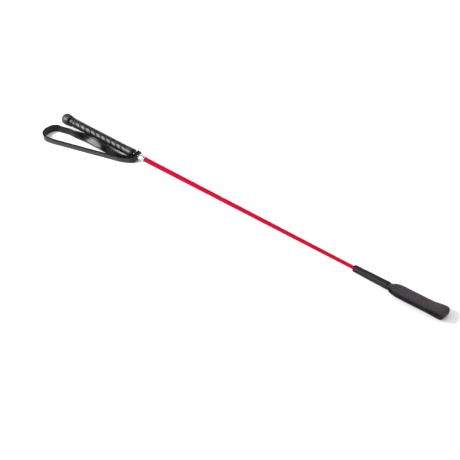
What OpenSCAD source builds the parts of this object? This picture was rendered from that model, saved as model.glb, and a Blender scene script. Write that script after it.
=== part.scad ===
// Riding crop with a plaited handle, a leather wrist loop and a folded leather keeper.
// It lies on its side on a flat surface. +X runs along the shaft from the pommel to the keeper,
// +Z is up, and the origin is at the bottom centre of the box around the whole crop.
// Every handle and shaft part is turned about the shaft's line. All sizes are in millimetres.

/* [Overall] */
// Length from the end of the pommel to the fold of the keeper
total_len = 650; // [620:1:720]

/* [Handle] */
// Diameter of the pommel's leather cap
pommel_d = 15.4; // [15:0.1:15.8]
// Length of the pommel's cap
pommel_len = 12.5; // [11:0.5:14]
// Thickness of the cap's leather
cap_wall = 1.1; // [0.8:0.1:1.4]
// Diameter of the rolled ring behind the pommel
neck_ring_d = 13.6; // [13.2:0.1:14]
// Length of the rolled ring
neck_ring_len = 1.8; // [1.6:0.1:2.4]
// Diameter over the plaited grip
grip_d = 12; // [11.6:0.1:12.4]
// Diameter of the plait where it starts over the edge of the cap
grip_start_d = 13.4; // [13:0.1:14]
// Length of the plaited grip
grip_len = 93.6; // [84:0.2:96]
// Thickness of the plaited leather
plait_t = 1.1; // [0.8:0.1:1.4]
// Diameter of the smooth cuff over the ends of the plait
cuff_d = 12.4; // [12:0.1:12.8]
// Length of the cuff
cuff_len = 9; // [7:0.5:11]
// Diameter of the ring that closes the handle
end_ring_d = 12.8; // [12.4:0.1:13.4]
// Length of the end ring
end_ring_len = 3.4; // [3:0.2:4]

/* [Ferrule] */
// Diameter of the ferrule's polished body
ferrule_d = 7.4; // [7.2:0.1:8]
// Length of the body
ferrule_len = 10; // [8:0.5:12]
// Diameter of the neck that the strap ends turn on
ferrule_neck_d = 6; // [5.8:0.1:6.2]
// Length of the bare neck between the end ring and the strap ends
bare_neck_len = 3.6; // [3:0.2:5]
// Length of the neck's tail inside the handle
ferrule_tail_len = 15; // [12:1:20]

/* [Wrist strap] */
// Width of the strap, which stands on its edge
strap_w = 11; // [10:0.5:12]
// Thickness of the strap
strap_t = 2; // [1.8:0.1:2.2]
// Reach of the loop back along the handle
loop_len = 125; // [115:1:126]
// Reach of the loop away from the handle, counted from the bend at its end
loop_side = 41; // [38:1:44]

/* [Shaft] */
// Diameter of the braided cover at the handle
cover_butt_d = 6.4; // [6.2:0.1:6.6]
// Diameter of the braided cover at the sleeve
cover_tip_d = 5; // [4.8:0.1:5.4]
// Diameter of the rod at the handle
core_butt_d = 4.4; // [4.2:0.1:4.6]
// Diameter of the rod at its tip
core_tip_d = 3.2; // [3:0.1:3.4]

/* [Keeper] */
// Length of the sleeve that holds the keeper
sleeve_len = 58; // [55:1:66]
// Diameter of the sleeve where the shaft enters
sleeve_butt_d = 10; // [9.8:0.1:10.4]
// Diameter of the sleeve where the keeper leaves
sleeve_mouth_d = 11.4; // [11.2:0.1:11.8]
// Length of the keeper beyond the sleeve
keeper_len = 98; // [88:1:102]
// Width of the keeper
keeper_w = 24.5; // [23:0.5:25]
// Thickness of the keeper's leather
leather_t = 1.8; // [1.5:0.1:2]
// Thickness of the folded keeper at its middle
keeper_mid_t = 8; // [7.4:0.1:8.2]
// Diameter of the round fold at its tip
fold_d = 10; // [9:0.2:10.4]
// Roll of the keeper about the shaft, in degrees
keeper_roll = 16; // [12:1:17]
// Rise of the tip of the keeper above the shaft's line
tip_rise = 1.2; // [1.1:0.1:2.4]

/* [Hidden] */
$fn = 96;

// Gaps: between parts that follow each other, between nested parts, and on the strap's bearing
end_gap = 0.2;
nest_gap = 0.08;
bearing_gap = 0.06;

// Places along the shaft, counted from the end of the pommel
neck_ring_x = pommel_len + 0.3;
grip_x = neck_ring_x + neck_ring_len + end_gap;
cuff_x = grip_x + grip_len + end_gap;
end_ring_x = cuff_x + cuff_len + end_gap;
handle_end_x = end_ring_x + end_ring_len;
tab_gap = 0.5;
tab_x = handle_end_x + bare_neck_len;
shoulder_x = tab_x + 2 * strap_t + 2 * tab_gap;
ferrule_end_x = shoulder_x + ferrule_len;
ferrule_tail_x = handle_end_x - ferrule_tail_len;
cover_x = ferrule_end_x - 4;
keeper_x = total_len - keeper_len;
sleeve_end_x = keeper_x - 0.8;
sleeve_x = sleeve_end_x - sleeve_len;
core_x = 4;
core_end_x = sleeve_end_x - 5;
whipping_x = pommel_len - 1.2;
cover_end_x = sleeve_x + 26;

// Radii that other parts fit
former_r = grip_d / 2 - plait_t;
rod_bore_r = core_butt_d / 2 + nest_gap;
whipping_t = 0.6;
tail_r = cover_tip_d / 2 + whipping_t + 2 * nest_gap;
tail_t = 1.1;
sleeve_bore_r = tail_r + tail_t + nest_gap;

// The strap: its ends pierced by the ferrule's neck, and the knuckle that the loop swings on
tab_reach = 3.8;
tab_over = 5.5;
knuckle_r = strap_t / 2 + 1.2;
knuckle_x = tab_x + strap_t + tab_gap / 2;
knuckle_y = -(tab_reach + knuckle_r + 0.3);
// The loop in plan from the knuckle: a straight outer run, a tight bend and a wide bend round
// its end, and an inner run beside the handle
outer_from = [-0.2 * loop_len, -0.4 * loop_side];
outer_to = [-0.74 * loop_len, -0.93 * loop_side];
outer_end = [-0.83 * loop_len, -0.985 * loop_side];
tight_bend_r = 9;
wide_bend_r = 20;
wide_bend_out = 11;
inner_from = [-0.76 * loop_len, -9];
inner_to = [-0.25 * loop_len, -8];
loop_line = smooth_line(
    concat(
        [[0, -1], [-8, -7]],
        evenly(outer_from, outer_to, 8),
        [outer_end],
        turn([tight_bend_r - loop_len, tight_bend_r - loop_side], tight_bend_r, 270, 180),
        turn([wide_bend_r - loop_len, -wide_bend_out - wide_bend_r], wide_bend_r, 150, 90),
        evenly(inner_from, inner_to, 6),
        [[-12, -4], [0, 1]]
    ),
    4
);

// The shaft's line above the surface, and its place across the box around the crop
axis_z = pommel_d / 2;
axis_y = (loop_side + strap_t / 2 - knuckle_y - keeper_w / 2) / 2;

// ---- Curves ----

// A number that eases from 0 to 1 as t goes from 0 to 1
function ease(t) = let (c = min(1, max(0, t))) c * c * (3 - 2 * c);

// The point at t on the smooth curve through b and c, with neighbours a and d
function between(a, b, c, d, t) =
    0.5 * (2 * b + (c - a) * t + (2 * a - 5 * b + 4 * c - d) * t * t
        + (3 * b - a - 3 * c + d) * t * t * t);

// Points evenly along the straight from a to b, in the given number of steps
function evenly(a, b, steps) = [for (k = [0 : steps]) a + (b - a) * k / steps];

// Three points round an arc, from one angle to the other
function turn(centre, r, a_from, a_to) =
    [for (a = [a_from : (a_to - a_from) / 2 : a_to]) centre + r * [cos(a), sin(a)]];

// A smooth line through the points, with the given number of steps from each to the next
function smooth_line(points, steps) =
    let (last = len(points) - 1)
    concat(
        [for (i = [0 : last - 1], k = [0 : steps - 1])
            between(points[max(0, i - 1)], points[i], points[i + 1],
                points[min(last, i + 2)], k / steps)],
        [points[last]]
    );

// The unit vector square to the line at point i, on its left
function left_of(line, i) =
    let (d = line[min(len(line) - 1, i + 1)] - line[max(0, i - 1)])
    [-d[1], d[0]] / norm(d);

// A closed outline of width w along the line
function ribbon(line, w) = concat(
    [for (i = [0 : len(line) - 1]) line[i] + left_of(line, i) * w / 2],
    [for (i = [len(line) - 1 : -1 : 0]) line[i] - left_of(line, i) * w / 2]
);

// ---- Placing ----

// Puts its children on the shaft's line, x along the shaft from the end of the pommel
module at_shaft(x = 0) {
    translate([x - total_len / 2, axis_y, axis_z]) children();
}

// Turns a profile of [distance along the shaft, radius] points about the shaft's line
module turned(x, profile) {
    at_shaft(x) rotate([0, 90, 0]) rotate_extrude()
        polygon([for (p = profile) [p[1], p[0]]]);
}

// A straight or tapered tube along the shaft
module tube(x, length, r_in, r_out, r_in_end = undef, r_out_end = undef) {
    turned(x, [
        [0, r_in], [0, r_out],
        [length, is_undef(r_out_end) ? r_out : r_out_end],
        [length, is_undef(r_in_end) ? r_in : r_in_end]
    ]);
}

// A ring with a half-round outside of the given bulge
module rolled_ring(x, length, r_in, r_out, bulge) {
    turned(x, concat(
        [[0, r_in]],
        [for (a = [0 : 15 : 180])
            [length / 2 * (1 - cos(a)), r_out - bulge + bulge * sin(a)]],
        [[length, r_in]]
    ));
}

// ---- Handle ----

// The cap's outside: a dome that runs into a short straight side and turns in at the neck
function cap_profile(r, length, turn_in) = concat(
    [[0, 0]],
    [for (a = [15 : 15 : 90]) [r * 0.95 * (1 - cos(a)), r * sin(a)]],
    [[length - turn_in, r], [length - turn_in * 0.4, r - turn_in * 0.3], [length, r - turn_in]]
);

module pommel_cap() {
    color([0.10, 0.10, 0.10]) difference() {
        turned(0, cap_profile(pommel_d / 2, pommel_len, 1.2));
        turned(cap_wall, concat(
            cap_profile(pommel_d / 2 - cap_wall, pommel_len - cap_wall, 0.1),
            [[pommel_len, pommel_d / 2 - cap_wall - 0.1], [pommel_len, 0]]
        ));
    }
}

module pommel_core() {
    r = pommel_d / 2 - cap_wall - nest_gap;
    length = pommel_len - cap_wall - nest_gap;
    recess_r = rod_bore_r + whipping_t + 2 * nest_gap;
    color([0.62, 0.48, 0.32]) difference() {
        turned(cap_wall + nest_gap, concat(cap_profile(r, length, 0.3), [[length, 0]]));
        turned(core_x - nest_gap, [[0, 0], [0, rod_bore_r], [pommel_len, rod_bore_r], [pommel_len, 0]]);
        turned(whipping_x - nest_gap, [[0, 0], [0, recess_r], [pommel_len, recess_r], [pommel_len, 0]]);
    }
}

module neck_ring() {
    color([0.08, 0.08, 0.08])
        rolled_ring(neck_ring_x, neck_ring_len, former_r + nest_gap, neck_ring_d / 2, 0.8);
}

module grip_former() {
    tail_x = ferrule_tail_x - end_gap;
    color([0.62, 0.48, 0.32]) turned(0, [
        [pommel_len + end_gap, rod_bore_r], [pommel_len + end_gap, former_r],
        [end_ring_x - end_gap, former_r], [end_ring_x - end_gap, ferrule_neck_d / 2 + nest_gap],
        [tail_x, ferrule_neck_d / 2 + nest_gap], [tail_x, rod_bore_r]
    ]);
}

module plaited_grip() {
    color([0.12, 0.11, 0.12]) turned(grip_x, [
        [0, former_r + nest_gap], [0, grip_start_d / 2 - 0.4], [0.4, grip_start_d / 2],
        [2, grip_start_d / 2], [6, grip_d / 2],
        [grip_len, grip_d / 2], [grip_len, former_r + nest_gap]
    ]);
}

module grip_cuff() {
    color([0.14, 0.13, 0.14]) tube(cuff_x, cuff_len, former_r + nest_gap, cuff_d / 2);
}

module end_ring() {
    color([0.05, 0.05, 0.05])
        rolled_ring(end_ring_x, end_ring_len, ferrule_neck_d / 2 + nest_gap, end_ring_d / 2, 1.5);
}

// ---- Ferrule, rod and cover ----

module ferrule() {
    neck_r = ferrule_neck_d / 2;
    body_r = ferrule_d / 2;
    groove = 0.3;
    mouth_r = cover_butt_d / 2 + nest_gap;
    color([0.86, 0.87, 0.88]) turned(0, [
        [ferrule_tail_x, rod_bore_r], [ferrule_tail_x, neck_r],
        [shoulder_x, neck_r], [shoulder_x, body_r - groove], [shoulder_x + groove, body_r],
        [shoulder_x + 2, body_r], [shoulder_x + 2.4, body_r - groove], [shoulder_x + 2.8, body_r],
        [ferrule_end_x - 2.8, body_r], [ferrule_end_x - 2.4, body_r - groove],
        [ferrule_end_x - 2, body_r], [ferrule_end_x - groove, body_r],
        [ferrule_end_x, mouth_r + 0.1], [ferrule_end_x, mouth_r],
        [cover_x - end_gap, mouth_r], [cover_x - end_gap, rod_bore_r]
    ]);
}

module shaft_core() {
    color([0.85, 0.84, 0.78])
        tube(core_x, core_end_x - core_x, 0, core_butt_d / 2, 0, core_tip_d / 2);
}

// Thread wound on the rod's butt, which keeps the pommel and the former from sliding off
module butt_whipping() {
    color([0.85, 0.80, 0.68])
        tube(whipping_x, 1.2, rod_bore_r + nest_gap, rod_bore_r + nest_gap + whipping_t);
}

module shaft_cover() {
    color([0.75, 0.03, 0.10]) tube(
        cover_x, cover_end_x - cover_x,
        core_butt_d / 2 + nest_gap, cover_butt_d / 2,
        core_butt_d / 2 + nest_gap - 0.5, cover_tip_d / 2
    );
}

// ---- Sleeve and the leather inside it ----

module tip_whipping() {
    r = cover_tip_d / 2 + nest_gap;
    color([0.85, 0.80, 0.68]) tube(cover_end_x - 18, 17, r, r + whipping_t);
}

module rod_tip_cap() {
    color([0.20, 0.20, 0.22]) difference() {
        tube(core_end_x - 10, 13, 0, tail_r - nest_gap);
        tube(core_end_x - 11, 11 + nest_gap, 0, core_tip_d / 2 + nest_gap + 0.04);
    }
}

// Half of the leather tube that the keeper's two ends make round the rod
module keeper_tail(side) {
    tail_len = sleeve_len - 8;
    split = 0.4;
    intersection() {
        tube(sleeve_end_x - tail_len, tail_len, tail_r, tail_r + tail_t);
        at_shaft() rotate([-keeper_roll, 0, 0])
            translate([sleeve_x, -sleeve_mouth_d, side > 0 ? split : -split - sleeve_mouth_d])
            cube([sleeve_len + 10, 2 * sleeve_mouth_d, sleeve_mouth_d]);
    }
}

module keeper_tail_upper() {
    color([0.13, 0.12, 0.13]) keeper_tail(1);
}

module keeper_tail_lower() {
    color([0.13, 0.12, 0.13]) keeper_tail(-1);
}

module keeper_sleeve() {
    lip = 3;
    butt_r = sleeve_butt_d / 2;
    color([0.09, 0.09, 0.10]) turned(sleeve_x, [
        [0, cover_tip_d / 2 + 0.2], [0, butt_r - 0.6], [0.6, butt_r],
        [sleeve_len, sleeve_mouth_d / 2], [sleeve_len, sleeve_bore_r],
        [lip, sleeve_bore_r], [lip, cover_tip_d / 2 + 0.2]
    ]);
}

// ---- Wrist strap ----

// One end of the strap, pierced by the ferrule's neck and square to the shaft
module strap_end(x) {
    corner = 1.2;
    difference() {
        at_shaft(x) rotate([90, 0, 90]) linear_extrude(strap_t) polygon([
            [-tab_reach, -strap_w / 2],
            for (a = [-90 : 15 : 0])
                [tab_over - corner + corner * cos(a), -strap_w / 2 + corner + corner * sin(a)],
            for (a = [0 : 15 : 90])
                [tab_over - corner + corner * cos(a), strap_w / 2 - corner + corner * sin(a)],
            [-tab_reach, strap_w / 2]
        ]);
        at_shaft(x - 1) rotate([0, 90, 0])
            cylinder(r = ferrule_neck_d / 2 + bearing_gap, h = strap_t + 2);
    }
}

module strap_end_inner() {
    color([0.11, 0.10, 0.11]) strap_end(tab_x);
}

module strap_end_outer() {
    color([0.11, 0.10, 0.11]) strap_end(tab_x + strap_t + tab_gap);
}

// Puts its children at the knuckle, on the surface that the crop lies on
module at_knuckle() {
    translate([knuckle_x - total_len / 2, axis_y + knuckle_y, 0]) children();
}

module wrist_strap() {
    color([0.11, 0.10, 0.11]) at_knuckle() union() {
        cylinder(r = knuckle_r, h = strap_w);
        linear_extrude(strap_w) polygon(ribbon(loop_line, strap_t));
    }
}

// A row of short stitches across the strap near its ends, on the loop's outer face
module strap_stitches() {
    stitch_len = 1.6;
    place = 6;
    p = loop_line[place];
    out = left_of(loop_line, place) * (strap_t / 2 + 0.3);
    color([0.30, 0.29, 0.30]) at_knuckle() for (z = [1.4 : 2.2 : strap_w - 2])
        translate([p[0] + out[0], p[1] + out[1], z]) cylinder(r = 0.28, h = stitch_len, $fn = 24);
}

// ---- Keeper ----

// Length over which the keeper spreads to its full width
shoulder_len = 13;

// Half the thickness of the folded keeper at x from the hinge
function half_t(x) =
    keeper_mid_t / 2
    + (sleeve_mouth_d / 2 - keeper_mid_t / 2) * (1 - ease(x / 14))
    + (fold_d / 2 - keeper_mid_t / 2) * ease((x - keeper_len + fold_d / 2 + 26) / 26);

// Height of the keeper's middle above the shaft's line
function rise(x) = tip_rise * pow(x / keeper_len, 2);

// Half the width of the keeper: it spreads quickly to its shoulders, then has straight sides
function half_w(x) =
    sleeve_mouth_d / 2
    + (keeper_w / 2 - sleeve_mouth_d / 2) * (1 - pow(1 - min(1, x / shoulder_len), 2));

// Side outline of the fold, set in by the given amount, with its open end at x_open
function fold_outline(inset, x_open) =
    let (
        r = fold_d / 2 - inset,
        bend_x = keeper_len - fold_d / 2,
        xs = [for (k = [1 : 16]) k * bend_x / 16]
    )
    concat(
        [[x_open, -sleeve_mouth_d / 2 + inset]],
        [for (x = xs) [x, rise(x) - half_t(x) + inset]],
        [for (a = [-75 : 15 : 75]) [bend_x + r * cos(a), rise(bend_x) + r * sin(a)]],
        [for (k = [len(xs) - 1 : -1 : 0]) [xs[k], rise(xs[k]) + half_t(xs[k]) - inset]],
        [[x_open, sleeve_mouth_d / 2 - inset]]
    );

// The points of an arc of the given radius about a centre, every 15 degrees from a_from to a_to
function arc(centre, r, a_from, a_to) = [for (a = [a_from : 15 : a_to]) centre + r * [cos(a), sin(a)]];

// Plan outline of the keeper, whose fold is a little askew: its far corner is cut back
function plan_outline() =
    let (
        near_r = 3,
        far_r = 8,
        askew = 3,
        xs = [for (k = [0 : 12]) k * shoulder_len / 12],
        edge = keeper_w / 2
    )
    concat(
        [for (x = xs) [x, -half_w(x)]],
        arc([keeper_len - near_r, near_r - edge], near_r, -90, 0),
        arc([keeper_len - askew - far_r, edge - far_r], far_r, 0, 90),
        [for (k = [len(xs) - 1 : -1 : 0]) [xs[k], half_w(xs[k])]]
    );

// The keeper's two leaves and the fold between them. Its open end stands off from the
// sleeve, so that it clears the sleeve as the keeper bends up or down.
module keeper_flap() {
    stand_off = 2.4;
    color([0.13, 0.12, 0.13]) at_shaft(keeper_x) rotate([-keeper_roll, 0, 0]) intersection() {
        rotate([90, 0, 0]) translate([0, 0, -keeper_w]) linear_extrude(2 * keeper_w) difference() {
            polygon(fold_outline(0, stand_off));
            polygon(fold_outline(leather_t, -3));
        }
        translate([0, 0, -2 * fold_d]) linear_extrude(4 * fold_d) polygon(plan_outline());
    }
}

pommel_cap();
pommel_core();
neck_ring();
grip_former();
plaited_grip();
grip_cuff();
end_ring();
ferrule();
shaft_core();
butt_whipping();
shaft_cover();
tip_whipping();
rod_tip_cap();
keeper_tail_upper();
keeper_tail_lower();
keeper_sleeve();
strap_end_inner();
strap_end_outer();
wrist_strap();
strap_stitches();
keeper_flap();
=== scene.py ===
import math

import bpy
import numpy as np
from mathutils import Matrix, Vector


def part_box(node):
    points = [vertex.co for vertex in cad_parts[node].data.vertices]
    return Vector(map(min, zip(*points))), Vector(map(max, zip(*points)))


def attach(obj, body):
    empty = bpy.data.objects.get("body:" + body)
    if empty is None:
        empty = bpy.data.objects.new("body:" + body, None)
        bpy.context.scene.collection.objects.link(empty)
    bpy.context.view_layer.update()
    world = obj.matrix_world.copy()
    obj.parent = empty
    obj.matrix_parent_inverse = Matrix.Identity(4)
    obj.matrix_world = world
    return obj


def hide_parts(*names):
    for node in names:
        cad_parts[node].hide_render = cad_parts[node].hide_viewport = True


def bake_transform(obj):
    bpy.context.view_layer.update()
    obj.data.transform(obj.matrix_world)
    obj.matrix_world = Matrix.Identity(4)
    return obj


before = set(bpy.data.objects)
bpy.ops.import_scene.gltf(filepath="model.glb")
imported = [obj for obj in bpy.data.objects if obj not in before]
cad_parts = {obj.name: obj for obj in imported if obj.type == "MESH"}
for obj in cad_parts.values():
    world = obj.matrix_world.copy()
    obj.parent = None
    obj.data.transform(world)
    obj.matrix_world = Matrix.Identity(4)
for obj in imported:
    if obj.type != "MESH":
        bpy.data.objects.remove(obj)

MM = 0.001
TAU = 2 * math.pi
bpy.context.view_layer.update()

# The shaft's line, with x counted in mm from the end of the pommel. All pieces are made in
# mm about it, and placed by put().
cap_low, cap_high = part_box("pommel_cap")
AXIS = np.array([cap_low.x, (cap_low.y + cap_high.y) / 2, (cap_low.z + cap_high.z) / 2])
FLOOR = -AXIS[2] / MM


def span(node):
    """Where a CAD node starts and ends along the shaft, in mm."""
    low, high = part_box(node)
    return (low.x - AXIS[0]) / MM, (high.x - AXIS[0]) / MM


def radius(node):
    """The largest radius of a CAD node that is round about the shaft, in mm."""
    low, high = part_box(node)
    return (high.y - low.y) / 2 / MM


def ease(t):
    """Goes smoothly from 0 to 1 as t goes from 0 to 1."""
    t = np.clip(t, 0, 1)
    return t * t * (3 - 2 * t)


# ---- Camera ----

VIEW_HEADING = math.radians(38.47)
VIEW_ELEVATION = math.asin(0.654)
VIEW_DISTANCE = 24.0
VIEW_WIDTH = 0.6077
VIEW_CENTRE = (317.2, -41.8, 0.0)


def make_camera():
    """A very long lens, because the picture shows no perspective."""
    data = bpy.data.cameras.new("camera")
    data.sensor_width = 36
    data.lens = data.sensor_width * VIEW_DISTANCE / VIEW_WIDTH
    data.clip_start = 0.1
    data.clip_end = 3 * VIEW_DISTANCE
    camera = bpy.data.objects.new("camera", data)
    bpy.context.collection.objects.link(camera)
    level = math.cos(VIEW_ELEVATION)
    back = Vector((
        level * math.sin(VIEW_HEADING),
        -level * math.cos(VIEW_HEADING),
        math.sin(VIEW_ELEVATION),
    ))
    centre = Vector(AXIS + np.array(VIEW_CENTRE) * MM)
    camera.location = centre + back * VIEW_DISTANCE
    camera.rotation_euler = back.to_track_quat("Z", "Y").to_euler()
    bpy.context.scene.camera = camera


# ---- Meshes ----

def put(points):
    """Points in mm about the shaft's line, in metres in the row frame."""
    return np.asarray(points, float) * MM + AXIS


def make_object(name, points, faces, material, sharp=40, darkened_mark=None):
    """An object of the points, with its rest position kept for its material's pattern, and
    how far each point is marked for darkening: painted shade on the keeper's edges, painted
    dark reflection in the ferrule's grooves, and darker edges on the strap."""
    points = np.asarray(points, float).reshape(-1, 3)
    mesh = bpy.data.meshes.new(name)
    mesh.from_pydata(put(points).tolist(), [], faces)
    mesh.validate()
    rest = mesh.attributes.new("rest_mm", "FLOAT_VECTOR", "POINT")
    rest.data.foreach_set("vector", points.astype(np.float32).ravel())
    if darkened_mark is not None:
        cut = mesh.attributes.new("darkened_mark", "FLOAT", "POINT")
        cut.data.foreach_set("value", np.asarray(darkened_mark, np.float32).ravel())
    mesh.shade_smooth()
    mesh.set_sharp_from_angle(angle=math.radians(sharp))
    mesh.materials.append(material)
    made = bpy.data.objects.new(name, mesh)
    bpy.context.collection.objects.link(made)
    return made


def skin(rings, closed=False):
    """Faces over rings of the same number of points. Open ends get a cap."""
    count, size = rings.shape[:2]
    faces = []
    last = count if closed else count - 1
    for i in range(last):
        a = i * size
        b = (i + 1) % count * size
        for k in range(size):
            n = (k + 1) % size
            faces.append((a + k, a + n, b + n, b + k))
    if not closed:
        faces.append(tuple(range(size - 1, -1, -1)))
        faces.append(tuple(range((count - 1) * size, count * size)))
    return faces


def joined(parts):
    """One list of points and one of faces from several (rings, closed) parts."""
    points = []
    faces = []
    start = 0
    for rings, closed in parts:
        faces += [tuple(v + start for v in f) for f in skin(rings, closed)]
        points.append(rings.reshape(-1, 3))
        start += rings.shape[0] * rings.shape[1]
    return np.concatenate(points), faces


def filleted(outline, r, steps=4, closed=False):
    """The outline's points in 2D with every corner rounded to about the radius r."""
    outline = [np.array(p, float) for p in outline]
    count = len(outline)
    out = []
    for i, p in enumerate(outline):
        if not closed and i in (0, count - 1):
            out.append(p)
            continue
        before = outline[i - 1] - p
        after = outline[(i + 1) % count] - p
        reach = min(r, 0.48 * np.linalg.norm(before), 0.48 * np.linalg.norm(after))
        start = p + before / np.linalg.norm(before) * reach
        end = p + after / np.linalg.norm(after) * reach
        for t in np.linspace(0, 1, steps + 1):
            out.append((1 - t) ** 2 * start + 2 * t * (1 - t) * p + t * t * end)
    return np.array(out)


def turned_rings(profile, sides=96, ripple=None):
    """A ring about the shaft for each (x, r) of the profile. ripple(x, angle) adds to r."""
    angle = np.arange(sides) * TAU / sides
    x = profile[:, 0][:, None] + 0 * angle
    r = profile[:, 1][:, None] + 0 * angle
    if ripple is not None:
        r = r + ripple(x, angle[None, :] + 0 * x)
    return np.stack([x, r * np.cos(angle), r * np.sin(angle)], axis=-1)


def smooth_path(points, spacing):
    """A smooth curve through the points, as evenly spaced points."""
    points = np.array(points, float)
    ends = np.vstack([2 * points[0] - points[1], points, 2 * points[-1] - points[-2]])
    fine = []
    for i in range(1, len(ends) - 2):
        a, b, c, d = ends[i - 1:i + 3]
        for t in np.linspace(0, 1, 24, endpoint=False):
            fine.append(0.5 * (2 * b + (c - a) * t + (2 * a - 5 * b + 4 * c - d) * t ** 2
                               + (3 * b - a - 3 * c + d) * t ** 3))
    fine = np.array(fine + [points[-1]])
    along = np.concatenate([[0], np.cumsum(np.linalg.norm(np.diff(fine, axis=0), axis=1))])
    even = np.linspace(0, along[-1], int(along[-1] / spacing) + 1)
    return np.stack([np.interp(even, along, fine[:, k]) for k in range(points.shape[1])], 1), even


# ---- Materials ----

class Finish:
    """A Principled material and the nodes that pattern it, in mm of the piece at rest."""

    def __init__(self, name, roughness, on_cad=False, **sockets):
        self.material = bpy.data.materials.new(name)
        self.material.use_nodes = True
        self.nodes = self.material.node_tree.nodes
        self.links = self.material.node_tree.links
        self.shader = self.nodes["Principled BSDF"]
        self.shader.inputs["Roughness"].default_value = roughness
        for socket, value in sockets.items():
            self.shader.inputs[socket.replace("_", " ")].default_value = value
        self.place = self.cad_place() if on_cad else self.rest_place()
        self.height = None

    def rest_place(self):
        node = self.nodes.new("ShaderNodeAttribute")
        node.attribute_name = "rest_mm"
        return node.outputs["Vector"]

    def cad_place(self):
        coordinates = self.nodes.new("ShaderNodeTexCoord")
        scale = self.nodes.new("ShaderNodeVectorMath")
        scale.operation = "SCALE"
        scale.inputs["Scale"].default_value = 1 / MM
        self.links.new(coordinates.outputs["Object"], scale.inputs[0])
        return scale.outputs[0]

    def stretched(self, factors):
        """The place, scaled along each axis."""
        node = self.nodes.new("ShaderNodeVectorMath")
        node.operation = "MULTIPLY"
        node.inputs[1].default_value = factors
        self.links.new(self.place, node.inputs[0])
        return node.outputs[0]

    def noise(self, per_mm, detail=2, place=None):
        node = self.nodes.new("ShaderNodeTexNoise")
        node.inputs["Scale"].default_value = per_mm
        node.inputs["Detail"].default_value = detail
        self.links.new(place or self.place, node.inputs["Vector"])
        return node.outputs["Fac"]

    def cells(self, per_mm, place=None):
        node = self.nodes.new("ShaderNodeTexVoronoi")
        node.feature = "DISTANCE_TO_EDGE"
        node.inputs["Scale"].default_value = per_mm
        self.links.new(place or self.place, node.inputs["Vector"])
        return node.outputs["Distance"]

    def wave(self, per_mm, direction, place=None):
        node = self.nodes.new("ShaderNodeTexWave")
        node.bands_direction = direction
        node.inputs["Scale"].default_value = per_mm * math.pi / 10
        self.links.new(place or self.place, node.inputs["Vector"])
        return node.outputs["Fac"]

    def mapped(self, value, low, high, from_low=0.3, from_high=0.7):
        node = self.nodes.new("ShaderNodeMapRange")
        node.inputs["From Min"].default_value = from_low
        node.inputs["From Max"].default_value = from_high
        node.inputs["To Min"].default_value = low
        node.inputs["To Max"].default_value = high
        self.links.new(value, node.inputs["Value"])
        return node.outputs["Result"]

    def darken_marked_points(self, colour, share):
        """The colour, with the given share of it taken away on marked points: painted shade on the
        keeper's edges, painted dark reflection in the ferrule's grooves, darker edges on the
        strap.
        """
        cut = self.nodes.new("ShaderNodeAttribute")
        cut.attribute_name = "darkened_mark"
        factor = self.mapped(cut.outputs["Fac"], 1, 1 - share, 0, 1)
        scale = self.nodes.new("ShaderNodeVectorMath")
        scale.operation = "SCALE"
        self.links.new(colour, scale.inputs[0])
        self.links.new(factor, scale.inputs["Scale"])
        return scale.outputs[0]

    def colour(self, value, dark, light, from_low=0.3, from_high=0.7, darkened_share=0):
        node = self.nodes.new("ShaderNodeValToRGB")
        node.color_ramp.elements[0].position = from_low
        node.color_ramp.elements[1].position = from_high
        node.color_ramp.elements[0].color = (*dark, 1)
        node.color_ramp.elements[1].color = (*light, 1)
        self.links.new(value, node.inputs["Fac"])
        out = node.outputs["Color"]
        if darkened_share:
            out = self.darken_marked_points(out, darkened_share)
        self.links.new(out, self.shader.inputs["Base Color"])

    def roughness(self, value, low, high):
        self.links.new(self.mapped(value, low, high), self.shader.inputs["Roughness"])

    def bump(self, value, depth_mm):
        node = self.nodes.new("ShaderNodeBump")
        node.inputs["Distance"].default_value = depth_mm * MM
        self.links.new(value, node.inputs["Height"])
        if self.height is not None:
            self.links.new(self.height, node.inputs["Normal"])
        self.height = node.outputs["Normal"]
        self.links.new(self.height, self.shader.inputs["Normal"])


def leather(name, dark, light, roughness, grain=1.5, depth=0.03, on_cad=False, darkened_share=0,
            specular=0.5):
    """Leather with a pebbled grain, uneven colour and slightly uneven gloss."""
    finish = Finish(name, roughness, on_cad, Specular_IOR_Level=specular)
    finish.colour(finish.noise(0.09, 4), dark, light, darkened_share=darkened_share)
    finish.roughness(finish.noise(0.4, 3), roughness - 0.05, roughness + 0.07)
    finish.bump(finish.mapped(finish.cells(grain), 0, 1, 0, 0.22), depth)
    finish.bump(finish.noise(0.35, 3), depth * 2)
    return finish.material


def polished_metal():
    finish = Finish("polished_metal", 0.09, Metallic=1.0)
    # Marked points keep a tenth of the colour: painted dark reflection in the ferrule's grooves.
    finish.colour(finish.noise(0.25, 3), (0.60, 0.61, 0.63), (0.74, 0.75, 0.77), darkened_share=0.9)
    finish.roughness(finish.noise(1.2, 4, finish.stretched((0.2, 1, 1))), 0.06, 0.15)
    return finish.material


def lacquered_braid():
    """Red braid under a thin clear lacquer, with fine threads along each strand."""
    finish = Finish("red_braid", 0.42, Specular_IOR_Level=0.02)
    finish.colour(finish.noise(0.6, 4), (0.27, 0.0002, 0.012), (0.37, 0.0005, 0.020))
    finish.bump(finish.noise(5.0, 2, finish.stretched((0.5, 1, 1))), 0.05)
    return finish.material


def sleeve_finish():
    """Smooth black covering with faint lengthwise rubbing marks."""
    finish = Finish("sleeve", 0.5, Specular_IOR_Level=0.09)
    along = finish.stretched((0.06, 1, 1))
    finish.colour(finish.noise(0.5, 3, along), (0.008, 0.007, 0.008), (0.017, 0.015, 0.016))
    finish.roughness(finish.noise(1.0, 4, along), 0.42, 0.58)
    finish.bump(finish.noise(0.9, 3, along), 0.06)
    return finish.material


def thread(name, dark, light, on_cad=False):
    finish = Finish(name, 0.7, on_cad)
    finish.colour(finish.noise(1.5, 3), dark, light)
    finish.bump(finish.wave(2.2, "DIAGONAL"), 0.08)
    return finish.material


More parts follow.
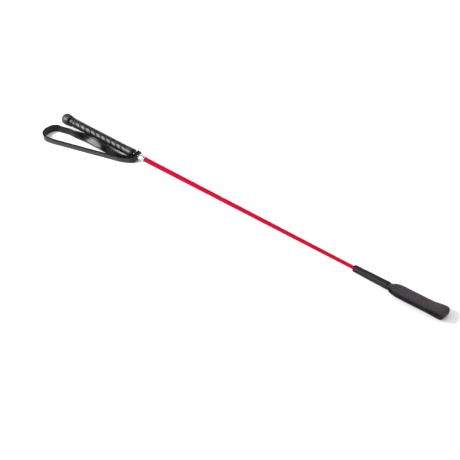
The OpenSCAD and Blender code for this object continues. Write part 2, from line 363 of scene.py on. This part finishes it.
def turned_wood():
    finish = Finish("block_wood", 0.6, on_cad=True)
    grain = finish.stretched((0.05, 1, 1))
    finish.colour(finish.noise(0.8, 6, grain), (0.30, 0.18, 0.08), (0.52, 0.36, 0.20))
    finish.bump(finish.noise(2.0, 4, grain), 0.1)
    return finish.material


def glass_fibre():
    finish = Finish("glass_fibre", 0.45, on_cad=True)
    along = finish.stretched((0.02, 1, 1))
    finish.colour(finish.noise(2.5, 4, along), (0.58, 0.55, 0.45), (0.78, 0.76, 0.68))
    finish.bump(finish.noise(3.0, 3, along), 0.03)
    return finish.material


def moulded_cap():
    finish = Finish("cap_plastic", 0.5, on_cad=True)
    finish.colour(finish.noise(0.7, 3), (0.02, 0.02, 0.022), (0.05, 0.05, 0.055))
    finish.bump(finish.noise(4.0, 2), 0.03)
    return finish.material


# ---- Handle ----

def make_pommel(material):
    """A domed leather cap, drawn into small pleats where it turns in at the neck."""
    x0, x1 = span("pommel_cap")
    r = radius("pommel_cap")
    dome = 0.92 * r
    side_end = x1 - 2.2
    profile = [(x0 + dome * (1 - math.cos(a)), r * math.sin(a))
               for a in np.linspace(0.03, math.pi / 2, 28)]
    turn_in = [(side_end, r), (x1 - 0.8, r - 0.2), (x1 + 0.2, r - 0.8), (x1 + 0.2, r - 2.6)]
    profile = np.vstack([profile, filleted(turn_in, 0.7)])
    pleats = 22

    def ripple(x, angle):
        drawn = ease((x - side_end + 4) / 6)
        sag = 0.06 * np.sin(3 * angle + 0.7 * x)
        return 0.13 * drawn * np.cos(pleats * angle) - 0.13 * drawn + sag * ease(x / 6)

    rings = turned_rings(profile, 176, ripple)
    cap = make_object("pommel", *joined([(rings, False)]), material)
    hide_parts("pommel_cap")
    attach(cap, "crop")


def make_neck_cord(material):
    """Two thin cords twisted together round the neck, behind the cap, on a plain band."""
    x0, x1 = span("neck_ring")
    r = radius("neck_ring")
    cord = 0.47
    middle = (x0 + x1) / 2
    twists = 16
    around = np.linspace(0, TAU, 321)[:-1]
    parts = []
    for start in (0, math.pi):
        lay = twists * around + start
        cx = middle + cord * 0.9 * np.cos(lay)
        cr = r - 2 * cord + cord * 0.9 * np.sin(lay)
        side = np.arange(10) * TAU / 10
        x = cx[:, None] + cord * np.cos(side)
        rr = cr[:, None] + cord * np.sin(side)
        rings = np.stack([x, rr * np.cos(around)[:, None], rr * np.sin(around)[:, None]], -1)
        parts.append((rings, True))
    band_start = span("pommel_cap")[1] + 0.1
    band_r = r - 1.05
    bore = r - 1.5
    band = np.array([(band_start, bore), (band_start, band_r), (x1, band_r), (x1, bore)])
    parts.append((turned_rings(band, 64), True))
    ring = make_object("neck_cord", *joined(parts), material)
    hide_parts("neck_ring")
    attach(ring, "crop")


def braid(x0, x1, outer, each_way, lead, width, thick, wave, per_crossing, across=8,
          over_two=False, turn=0.0, corners=0.0):
    """Strands that wind both ways round the shaft, each passing over one and under the next,
    or over two and under two. outer(x) is the radius over the braid, each_way the number of
    strands each way, lead the length of one whole turn of a strand, wave how far a strand rises
    and sinks, and per_crossing and across the number of steps along and across a strand. turn
    turns the braid about the shaft, and corners is how far four rounded corners stand out
    between the columns of a braid over two and under two."""
    parts = []
    crossing = lead / (2 * each_way)
    steps = int((x1 - x0) / crossing * per_crossing) + 1
    x_mid = np.linspace(x0, x1, steps)
    s = np.linspace(-1, 1, across + 1)
    dome = (1 - np.abs(s) ** 2.6) ** 0.55
    offset = np.concatenate([s, s[-2:0:-2] * 0.96])
    lift = np.concatenate([0.10 + 0.40 * dome, np.full(len(s[-2:0:-2]), -0.5)])
    for hand in (1, -1):
        for i in range(each_way):
            middle_r = outer(x_mid) - thick / 2 - wave
            slope = TAU * middle_r / lead
            tilt = 1 / np.sqrt(1 + slope ** 2)
            w = offset[None, :] * width / 2
            x = x_mid[:, None] - hand * w * (slope * tilt)[:, None]
            angle = hand * TAU * x_mid / lead + TAU * i / each_way
            angle = angle[:, None] + w * (tilt / middle_r)[:, None]
            other = (angle + hand * TAU * x / lead) * each_way / TAU
            if over_two:
                over = np.cos(math.pi / 2 * (other + i - 0.5)) * hand
            else:
                over = np.cos(math.pi * (other - i)) * hand
            over = over * (1.5 - 0.5 * over ** 2)
            x = np.clip(x, x0, x1)
            r = outer(x) - thick / 2 - wave + wave * over + lift * thick
            r = r - corners * np.sin(4 * angle)
            angle = angle + turn
            parts.append((np.stack([x, r * np.cos(angle), r * np.sin(angle)], -1), False))
    return parts


def make_plaited_grip(material):
    """Eight leather strands plaited over two and under two, flared at the cap, on a thin
    lining."""
    x0, x1 = span("plaited_grip")
    r_start = radius("plaited_grip")
    r = radius("grip_cuff") - 0.15
    tuck = 0.6

    def outer(x):
        return r + (r_start - r) * (1 - ease((x - x0 - 1.5) / 5))

    parts = braid(x0 - 0.1, x1 + tuck, outer, each_way=4, lead=34.8, width=6.4, thick=1.0,
                  wave=0.34, per_crossing=14, over_two=True, turn=math.radians(-62), corners=0.3)
    lining = np.array([(x0, 4.98), (x0, 5.2), (x1, 4.99), (x1, 4.95)])
    parts.append((turned_rings(lining, 48), True))
    grip = make_object("plait", *joined(parts), material, sharp=60)
    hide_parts("plaited_grip")
    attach(grip, "crop")


def make_cuff(material):
    """A smooth leather band with a creased line near each edge and a lapped seam."""
    x0, x1 = span("grip_cuff")
    r = radius("grip_cuff")
    inner = r - 1.2
    outline = [(x0, inner), (x0, r - 0.12), (x0 + 0.5, r), (x0 + 1.1, r), (x0 + 1.3, r - 0.12),
               (x0 + 1.5, r), (x1 - 1.5, r), (x1 - 1.3, r - 0.12), (x1 - 1.1, r),
               (x1 - 0.5, r), (x1, r - 0.12), (x1, inner)]
    profile = filleted(outline, 0.3, closed=True)

    seam = 0.55
    lip = 0.22

    def ripple(_x, angle):
        lap = (angle / TAU - seam) % 1.0
        return lip * (lap - 1)

    rings = turned_rings(profile, 160, ripple)
    cuff = make_object("cuff", *joined([(rings, True)]), material)
    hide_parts("grip_cuff")
    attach(cuff, "crop")


def make_end_ring(material):
    """A rolled leather ring whose roll was closed on the inside."""
    x0, x1 = span("end_ring")
    x0 -= 0.12
    r = radius("end_ring")
    half = (x1 - x0) / 2
    bore = radius("ferrule") - 0.7 + 0.1
    roll = [(x0 + half * (1 - math.cos(a)), r - half + half * math.sin(a))
            for a in np.linspace(0, math.pi, 22)]
    profile = np.array([(x0, bore)] + roll + [(x1, bore)])

    def ripple(x, angle):
        return 0.06 * np.sin(5 * angle) * np.sin(math.pi * (x - x0) / (x1 - x0))

    ring = make_object("end_ring_roll", *joined([(turned_rings(profile, 128, ripple), True)]),
                       material)
    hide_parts("end_ring")
    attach(ring, "crop")


# ---- Ferrule and shaft ----

def make_ferrule(material):
    """A polished collar with a rolled lip, grooves painted dark as a painted reflection, and its
    neck.
    """
    x0, x1 = span("ferrule")
    r = radius("ferrule")
    neck = 3.0
    shoulder = span("strap_end_outer")[1] + 0.5
    bore = 2.3
    mouth = radius("shaft_cover") + 0.05
    groove = r - 0.6
    shallow = r - 0.35
    outline = [(x0, bore), (x0, neck), (shoulder, neck), (shoulder, r - 0.1),
               (shoulder + 0.9, r + 0.1), (shoulder + 1.7, r - 0.1), (shoulder + 1.8, groove),
               (shoulder + 2.3, groove), (shoulder + 2.4, r - 0.15), (x1 - 3.6, r - 0.15),
               (x1 - 3.5, shallow), (x1 - 3, shallow), (x1 - 2.9, r - 0.15), (x1 - 2.3, r - 0.15),
               (x1 - 2.2, shallow), (x1 - 1.7, shallow), (x1 - 1.6, r - 0.1), (x1 - 0.9, r),
               (x1, mouth + 0.1), (x1, mouth), (x1 - 4, mouth), (x1 - 4, bore)]
    profile = filleted(outline, 0.25, 5, closed=True)
    rings = turned_rings(profile)
    at_x = rings[:, :, 0]
    reach = np.linalg.norm(rings[:, :, 1:], axis=2)
    # The floors of the grooves are marked and painted nearly black: painted dark reflection.
    painted_reflection_grooves = (at_x > shoulder + 1) & (reach < np.where(at_x < x1 - 4, groove, shallow) + 0.07)
    ferrule = make_object("ferrule_collar", *joined([(rings, True)]), material, darkened_mark=painted_reflection_grooves)
    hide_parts("ferrule")
    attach(ferrule, "crop")


def make_shaft_cover(material):
    """A fine braid of sixteen strands that tapers with the rod, on a thin lining."""
    x0, x1 = span("shaft_cover")
    butt_r = radius("shaft_cover")
    tip_r = 2.5
    sleeve_x = span("keeper_sleeve")[0]
    ferrule_end = span("ferrule")[1]
    fuller_outside = 0.15

    def outer(x):
        along = np.clip((x - x0) / (sleeve_x - x0), 0, 1)
        inside_ferrule = butt_r + (tip_r - butt_r) * along - 0.02
        return inside_ferrule + fuller_outside * ease((x - ferrule_end) / 3)

    parts = braid(x0, x1, outer, each_way=8, lead=19.0, width=2.15, thick=0.42, wave=0.12,
                  per_crossing=4, across=4)
    along = np.linspace(x0, x1, 40)
    lining = np.concatenate([np.stack([along, outer(along) - 0.55], 1),
                             np.stack([along[::-1], outer(along[::-1]) - 0.75], 1)])
    parts.append((turned_rings(lining, 32), True))
    cover = make_object("braided_cover", *joined(parts), material, sharp=70)
    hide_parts("shaft_cover")
    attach(cover, "crop")


def make_sleeve(material):
    """A tapered sleeve whose lapped edge runs along its upper near side."""
    x0, x1 = span("keeper_sleeve")
    r_mouth = radius("keeper_sleeve")
    r_butt = r_mouth - 0.7
    seam = 0.62 * TAU
    lip = 0.35
    outer_x = np.linspace(x0 + 0.8, x1 - 0.8, 40)
    outer = [(x, r_butt + (r_mouth - r_butt) * (x - x0) / (x1 - x0)) for x in outer_x]
    butt_bore = 2.75
    bore = 4.45
    butt_edge = [(x0 + 3, butt_bore), (x0, butt_bore), (x0, r_butt - 0.9),
                 (x0 + 0.1, r_butt - 0.35)]
    mouth_edge = [(x1 - 0.1, r_mouth - 0.4), (x1, 5.0), (x1 - 0.2, bore), (x0 + 3, bore)]
    profile = np.array(butt_edge + outer + mouth_edge)
    outside = np.zeros(len(profile), bool)
    outside[2:-3] = True

    def ripple(x, angle):
        lap = (angle - seam) / TAU % 1.0
        swell = 0.08 * np.sin(x * 0.31 + 2 * angle) * np.sin(x * 0.083)
        return (lip * (lap - 1) + swell) * outside[:, None]

    sleeve = make_object("sleeve", *joined([(turned_rings(profile, 192, ripple), True)]), material)
    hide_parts("keeper_sleeve")
    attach(sleeve, "crop")


# ---- Leather strips ----

def strip_section(half_width, thick, edge_groove, crease_in=1.3, crease_depth=0.14, steps=5):
    """A strip's section as (across, off) points: rounded edges, a crease along each border,
    and a groove along the middle of each cut edge where its two layers meet."""
    half = thick / 2
    outline = [(-half_width, -half), (half_width, -half), (half_width, -0.1),
               (half_width - edge_groove, 0), (half_width, 0.1), (half_width, half),
               (-half_width, half), (-half_width, 0.1), (-half_width + edge_groove, 0),
               (-half_width, -0.1)]
    round_corner = filleted(outline, 0.38 * thick, steps, closed=True)
    if crease_depth <= 0:
        return round_corner
    out = []
    for i, p in enumerate(round_corner):
        out.append(p)
        q = round_corner[(i + 1) % len(round_corner)]
        if abs(q[0] - p[0]) < half_width:
            continue
        side = math.copysign(1, p[1])
        direction = math.copysign(1, q[0] - p[0])
        for border in (-1, 1):
            centre = direction * border * (half_width - crease_in)
            for shift, depth in ((-0.35, 0), (-0.12, 0.8), (0.12, 0.8), (0.35, 0)):
                out.append((centre + direction * shift, side * (half - depth * crease_depth)))
            if border < 0:
                for share in (-0.6, -0.3, 0, 0.3, 0.6):
                    out.append((direction * share * (half_width - crease_in), side * half))
    return np.array(out)


# The loop in plan, in mm: a straight outer run, a tight bend and a wide bend round its end, and
# an inner run beside the handle. Each bend is a centre and a radius.
OUTER_RUN = ((110, -17), (18, -43.5))
TIGHT_BEND = ((8.5, -37), 8)
WIDE_BEND = ((14, -31.5), 13.5)
INNER_Y = -15.5
INNER_SHIFT = 2

# The strap's lean in degrees along each run, and how far it twists over along the inner one.
OUTER_LEAN = 20
INNER_LEAN = -7
TWIST = 53
TWIST_START = 25
TWIST_END = 100
TWIST_EASE = 35


def arc(centre, r, degrees):
    """Points in plan round a centre, one at each of the angles."""
    angles = np.radians(degrees)
    return [(centre[0] + r * math.cos(a), centre[1] + r * math.sin(a)) for a in angles]


def inner_run(x):
    """The strap's place and lean beside the handle."""
    y = INNER_Y + INNER_SHIFT * ease((x - 70) / 30)
    twist = TWIST * ease((x - TWIST_START) / TWIST_EASE) * ease((TWIST_END - x) / TWIST_EASE)
    return x, y, INNER_LEAN + twist


def strap_path():
    """Where the strap's lower edge runs in plan, from one pierced end round the loop to the
    other, with the strap's lean in degrees at each place. The lean is positive where its top
    edge is turned to the left of the way along."""
    inner_x = sum(span("strap_end_inner")) / 2
    outer_x = sum(span("strap_end_outer")) / 2
    end_y = 5.5
    leaving = [
        (outer_x, end_y, 0), (outer_x, 0, 0), (outer_x, -3.4, 0), (outer_x - 0.8, -6.4, 4),
        (outer_x - 4, -9.2, 12), (119, -12.7, 18)
    ]
    outer = [(x, y, OUTER_LEAN) for x, y in np.linspace(*OUTER_RUN, 11)]
    bends = (arc(*TIGHT_BEND, np.linspace(270, 180, 3))
             + arc(*WIDE_BEND, np.linspace(180, 90, 4)))
    leans = np.linspace(0.7 * OUTER_LEAN, INNER_LEAN, len(bends))
    bends = [(x, y, lean) for (x, y), lean in zip(bends, leans)]
    inner = [inner_run(x) for x in np.arange(24, 108, 8)]
    returning = [
        (114, -11.7, -13), (121, -9, -10), (inner_x - 0.8, -6, -4), (inner_x, -3.2, 0),
        (inner_x, 0, 0), (inner_x, end_y, 0)
    ]
    return smooth_path(leaving + outer + bends + inner + returning, 0.9)


def make_strap(material):
    """One strip of two layers of leather, from end to end through the loop, with rounded
    corners at its ends."""
    width = 11.0
    thick = 2.0
    path, along = strap_path()
    lean = np.radians(path[:, 2])
    plan = path[:, :2]
    way = np.gradient(plan, axis=0)
    way /= np.linalg.norm(way, axis=1)[:, None]
    left = np.stack([-way[:, 1], way[:, 0], np.zeros(len(way))], 1)
    up = np.array([0.0, 0.0, 1.0])
    across = np.cos(lean)[:, None] * up + np.sin(lean)[:, None] * left
    off = np.cos(lean)[:, None] * left - np.sin(lean)[:, None] * up
    on_collar = ease((plan[:, 1] + 9) / 5)
    floor_gap = 0.05
    rest_z = FLOOR + (thick / 2) * np.abs(np.sin(lean)) + floor_gap
    edge_z = rest_z * (1 - on_collar) - (width / 2) * on_collar
    centre = np.concatenate([plan, edge_z[:, None]], 1) + across * width / 2
    section = strip_section(width / 2, thick, 0.22)
    corner_len = 2.5
    corner_cut = 2.0
    from_end = np.minimum(along, along[-1] - along)
    at_corner = from_end < corner_len
    trim = np.sqrt(np.clip(1 - (1 - from_end / corner_len) ** 2, 0, 1)) * at_corner
    narrow = np.where(at_corner, 1 - (corner_cut / (width / 2)) * (1 - trim), 1)
    rings = (centre[:, None, :]
             + (section[None, :, 0:1] * narrow[:, None, None]) * across[:, None, :]
             + section[None, :, 1:2] * off[:, None, :])
    darkened_mark = np.abs(section[:, 0]) > width / 2 - 0.5
    strap = make_object("wrist_strap_leather", *joined([(rings, False)]), material, 40,
                        np.broadcast_to(darkened_mark, rings.shape[:2]))
    cut_hole(strap)
    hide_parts("wrist_strap", "strap_end_inner", "strap_end_outer")
    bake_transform(strap)
    return path, centre, across, off


def cut_hole(strap):
    """Cuts the hole for the ferrule's neck through both ends of the strap."""
    neck_r = 3.06
    start = span("strap_end_inner")[0] - 1
    end = span("strap_end_outer")[1] + 1
    profile = np.array([(start, neck_r), (end, neck_r)])
    cutter = make_object("hole_cutter", *joined([(turned_rings(profile, 64), False)]),
                         strap.data.materials[0])
    cut = strap.modifiers.new("hole", "BOOLEAN")
    cut.object = cutter
    cut.operation = "DIFFERENCE"
    cut.solver = "EXACT"
    depsgraph = bpy.context.evaluated_depsgraph_get()
    pierced = bpy.data.meshes.new_from_object(strap.evaluated_get(depsgraph))
    strap.modifiers.clear()
    strap.data = pierced
    bpy.data.objects.remove(cutter)


def make_stitches(material, path, centre, across, off):
    """A row of short stitches across the strap, just before its ends."""
    seam_x = 119.5
    seam_y = -13
    outer_half = path[:len(path) // 2]
    place = int(np.argmin(np.hypot(outer_half[:, 0] - seam_x, outer_half[:, 1] - seam_y)))
    parts = []
    along = centre[place + 1] - centre[place - 1]
    along = along / np.linalg.norm(along)
    side = np.arange(10) * TAU / 10
    for face in (1, -1):
        for k in range(4):
            height = -3.6 + 2.4 * k
            middle = centre[place] + across[place] * height + face * off[place] * 1.05
            rings = []
            for t in np.linspace(-1, 1, 9):
                spot = middle + across[place] * 0.75 * t - face * off[place] * 0.22 * t * t
                r = 0.26 * math.sqrt(max(0.06, 1 - t ** 4))
                rings.append(spot + r * (np.cos(side)[:, None] * along
                                         + np.sin(side)[:, None] * off[place]))
            parts.append((np.array(rings), False))
    stitches = make_object("stitches", *joined(parts), material)
    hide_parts("strap_stitches")
    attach(stitches, "wrist_loop")


# ---- Keeper ----

# How far the keeper is rolled about the shaft, where its leather starts in the sleeve, the
# radius of its fold, and how much its tip rises, twists and is skewed, in mm.
KEEPER_ROLL = math.radians(16)
ROOT_X = -3.0
FOLD_R = 5.0
TIP_RISE = 1.2
TIP_TWIST = 1.6
FOLD_SKEW = 4.5
KEEPER_WIDTH = 24.5


def keeper_skin(s, a, keeper_len, thick):
    """The middle surface of the keeper's leather. s runs from -1 at the root of the upper
    leaf through 0 at the fold to 1 at the root of the lower leaf; a is across, in mm."""
    bend_x = keeper_len - FOLD_R
    fold_r = FOLD_R - thick / 2
    leaf = bend_x - ROOT_X
    arc = math.pi * fold_r / 2
    total = leaf + arc
    d = np.abs(s) * total
    side = -np.sign(s)
    on_leaf = d >= arc
    x_leaf = bend_x - (d - arc)
    root_h = 4.35 - thick / 2
    mid_h = 4.0 - thick / 2
    h_leaf = (mid_h + (root_h - mid_h) * (1 - ease((x_leaf + 1) / 12))
              + (fold_r - mid_h) * ease((x_leaf - bend_x + 27) / 26))
    turn = d / fold_r
    x = np.where(on_leaf, x_leaf, bend_x + fold_r * np.cos(np.minimum(turn, math.pi / 2)))
    h = np.where(on_leaf, h_leaf, fold_r * np.sin(np.minimum(turn, math.pi / 2)))
    open_up = ease((x + 2.5) / 8)
    curve_r = root_h / np.maximum(1 - open_up, 0.02)
    bend = a / curve_r
    y = curve_r * np.sin(bend)
    drop = curve_r * (1 - np.cos(bend))
    along = np.clip(x, 0, None) / keeper_len
    from_near_edge = a / KEEPER_WIDTH + 0.5
    rise = TIP_RISE * along ** 2 + TIP_TWIST * ease((along - 0.6) / 0.35) * from_near_edge
    skew = FOLD_SKEW * ease((along - 0.4) / 0.5) * from_near_edge
    return np.stack(np.broadcast_arrays(x - skew, y, side * (h - drop) + rise), -1)


def keeper_half_width(s, keeper_len, near):
    """Half the keeper's width: round shoulders, and corners that are cut round at the fold."""
    total = keeper_len - FOLD_R - ROOT_X + math.pi * FOLD_R / 2
    d = np.abs(s) * total
    x = keeper_len - d
    spread = 20 if near else 11
    half = 6.2 + 6.05 * (1 - np.clip(1 - np.clip(x, 0, None) / spread, 0, 1) ** 1.8)
    corner = 4.5 if near else 11.0
    cut = 2.6 if near else 8.0
    u = np.clip(1 - d / corner, 0, 1)
    return half - cut * (1 - np.sqrt(np.clip(1 - u ** 2, 0, 1)))


def make_keeper(material):
    """One strip of leather, folded at the tip, whose two ends go into the sleeve."""
    keeper_x = span("keeper_sleeve")[1] + 0.8
    keeper_len = span("keeper_flap")[1] - keeper_x
    thick = 1.8
    fine = np.linspace(0, 0.14, 40)
    rest = np.linspace(0.14, 1, 90)[1:]
    one_side = np.concatenate([fine, rest])
    s = np.concatenate([-one_side[::-1], one_side[1:]])
    section = strip_section(1.0, thick, 0.0, crease_depth=0)
    flat = []
    for k in range(len(section)):
        p = section[k]
        q = section[(k + 1) % len(section)]
        flat.append(p)
        if abs(q[0] - p[0]) > 0.5:
            flat += [p + (q - p) * t for t in np.linspace(0, 1, 14)[1:-1]]
    section = np.array(flat)
    near = keeper_half_width(s, keeper_len, True)
    far = keeper_half_width(s, keeper_len, False)
    share = np.clip(section[:, 0], -1, 1)

    def across_at(v):
        return np.where(v < 0, v * near[:, None], v * far[:, None])

    def skin_at(s, a):
        return keeper_skin(s, a, keeper_len, thick)

    s_grid = s[:, None] + 0 * share[None, :]
    a = across_at(share[None, :] + 0 * s_grid)
    s_step = 0.001
    a_step = 0.01
    middle = skin_at(s_grid, a)
    d_s = skin_at(s_grid + s_step, a) - skin_at(s_grid - s_step, a)
    d_a = skin_at(s_grid, a + a_step) - skin_at(s_grid, a - a_step)
    normal = np.cross(d_s, d_a)
    normal /= np.linalg.norm(normal, axis=-1, keepdims=True)
    rings = middle + normal * section[None, :, 1:2]
    c, n = math.cos(KEEPER_ROLL), math.sin(KEEPER_ROLL)
    x, y, z = rings[..., 0], rings[..., 1], rings[..., 2]
    rings = np.stack([x + keeper_x, y * c + z * n, z * c - y * n], -1)
    # The cut edges are marked and painted nearly black: painted shade for the shaded side and the
    # gap between the leaves.
    darkened_mark = ease((np.abs(section[:, 0]) - 0.8) / 0.15) * (np.abs(section[:, 1]) < 0.42 * thick)
    keeper = make_object("keeper_leather", *joined([(rings, False)]), material, 50,
                         np.broadcast_to(darkened_mark, rings.shape[:2]))
    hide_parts("keeper_flap")
    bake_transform(keeper)


# ---- Stage ----

# The floor is this much lower than the crop, so that the two never coincide.
FLOOR_DROP = 0.0003


def make_floor():
    mesh = bpy.data.meshes.new("floor")
    half = 200.0
    mesh.from_pydata([(-half, -half, 0), (half, -half, 0), (half, half, 0), (-half, half, 0)],
                     [], [(0, 1, 2, 3)])
    finish = bpy.data.materials.new("floor")
    finish.use_nodes = True
    shader = finish.node_tree.nodes["Principled BSDF"]
    shader.inputs["Base Color"].default_value = (0.93, 0.93, 0.93, 1)
    shader.inputs["Roughness"].default_value = 0.7
    mesh.materials.append(finish)
    floor = bpy.data.objects.new("floor", mesh)
    floor.location.z = -FLOOR_DROP
    bpy.context.collection.objects.link(floor)


def softbox(name, direction, distance, power, width, height):
    data = bpy.data.lights.new(name, "AREA")
    data.energy = power
    data.shape = "RECTANGLE"
    data.size = width
    data.size_y = height
    light = bpy.data.objects.new(name, data)
    light.location = Vector(direction).normalized() * distance
    light.rotation_euler = Vector(direction).to_track_quat("Z", "Y").to_euler()
    bpy.context.collection.objects.link(light)


def make_light():
    world = bpy.data.worlds.new("studio")
    world.use_nodes = True
    world.node_tree.nodes["Background"].inputs["Color"].default_value = (1, 1, 1, 1)
    world.node_tree.nodes["Background"].inputs["Strength"].default_value = 0.78
    bpy.context.scene.world = world
    softbox("left", (-0.55, -0.66, 0.56), distance=2.2, power=80, width=0.7, height=1.1)
    softbox("back", (0.25, 0.75, 1.1), distance=2.2, power=8, width=1.8, height=1.8)
    bpy.context.scene.view_settings.view_transform = "Standard"


def finish_inside_nodes():
    """Materials for the CAD nodes that stay, which are inside other pieces."""
    wood = turned_wood()
    fibre = glass_fibre()
    whipping = thread("whipping_thread", (0.45, 0.38, 0.24), (0.66, 0.58, 0.40), on_cad=True)
    cap = moulded_cap()
    tail = leather("tail_leather", (0.02, 0.018, 0.02), (0.04, 0.035, 0.04), 0.5, on_cad=True)
    for node, material in (
        ("pommel_core", wood), ("grip_former", wood), ("shaft_core", fibre),
        ("butt_whipping", whipping), ("tip_whipping", whipping), ("rod_tip_cap", cap),
        ("keeper_tail_upper", tail), ("keeper_tail_lower", tail),
    ):
        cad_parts[node].data.materials.clear()
        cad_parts[node].data.materials.append(material)


make_camera()
make_floor()
make_light()
grain = leather("grain_leather", (0.005, 0.0045, 0.0055), (0.011, 0.010, 0.012), 0.4, 2.2, 0.02,
                specular=0.55)
rolled = leather("rolled_leather", (0.002, 0.002, 0.002), (0.005, 0.005, 0.005), 0.35, 2.0, 0.02,
                 specular=0.2)
plait = leather("plait_leather", (0.004, 0.0035, 0.0045), (0.010, 0.009, 0.011), 0.28, 2.2, 0.01,
                specular=0.22)
strap_hide = leather("strap_leather", (0.003, 0.0024, 0.003), (0.006, 0.005, 0.0058), 0.21, 1.8,
                     0.01, darkened_share=0.6, specular=0.17)
# The keeper's marked edges keep a tenth of its colour: painted shade.
keeper_hide = leather("keeper_leather", (0.017, 0.011, 0.0155), (0.028, 0.0195, 0.026), 0.55, 1.2,
                      0.03, darkened_share=0.9, specular=0.25)
make_pommel(grain)
make_neck_cord(rolled)
make_plaited_grip(plait)
make_cuff(grain)
make_end_ring(rolled)
make_ferrule(polished_metal())
make_shaft_cover(lacquered_braid())
make_sleeve(sleeve_finish())
strap_line = make_strap(strap_hide)
make_stitches(thread("strap_thread", (0.05, 0.048, 0.05), (0.10, 0.095, 0.10)), *strap_line)
make_keeper(keeper_hide)
finish_inside_nodes()
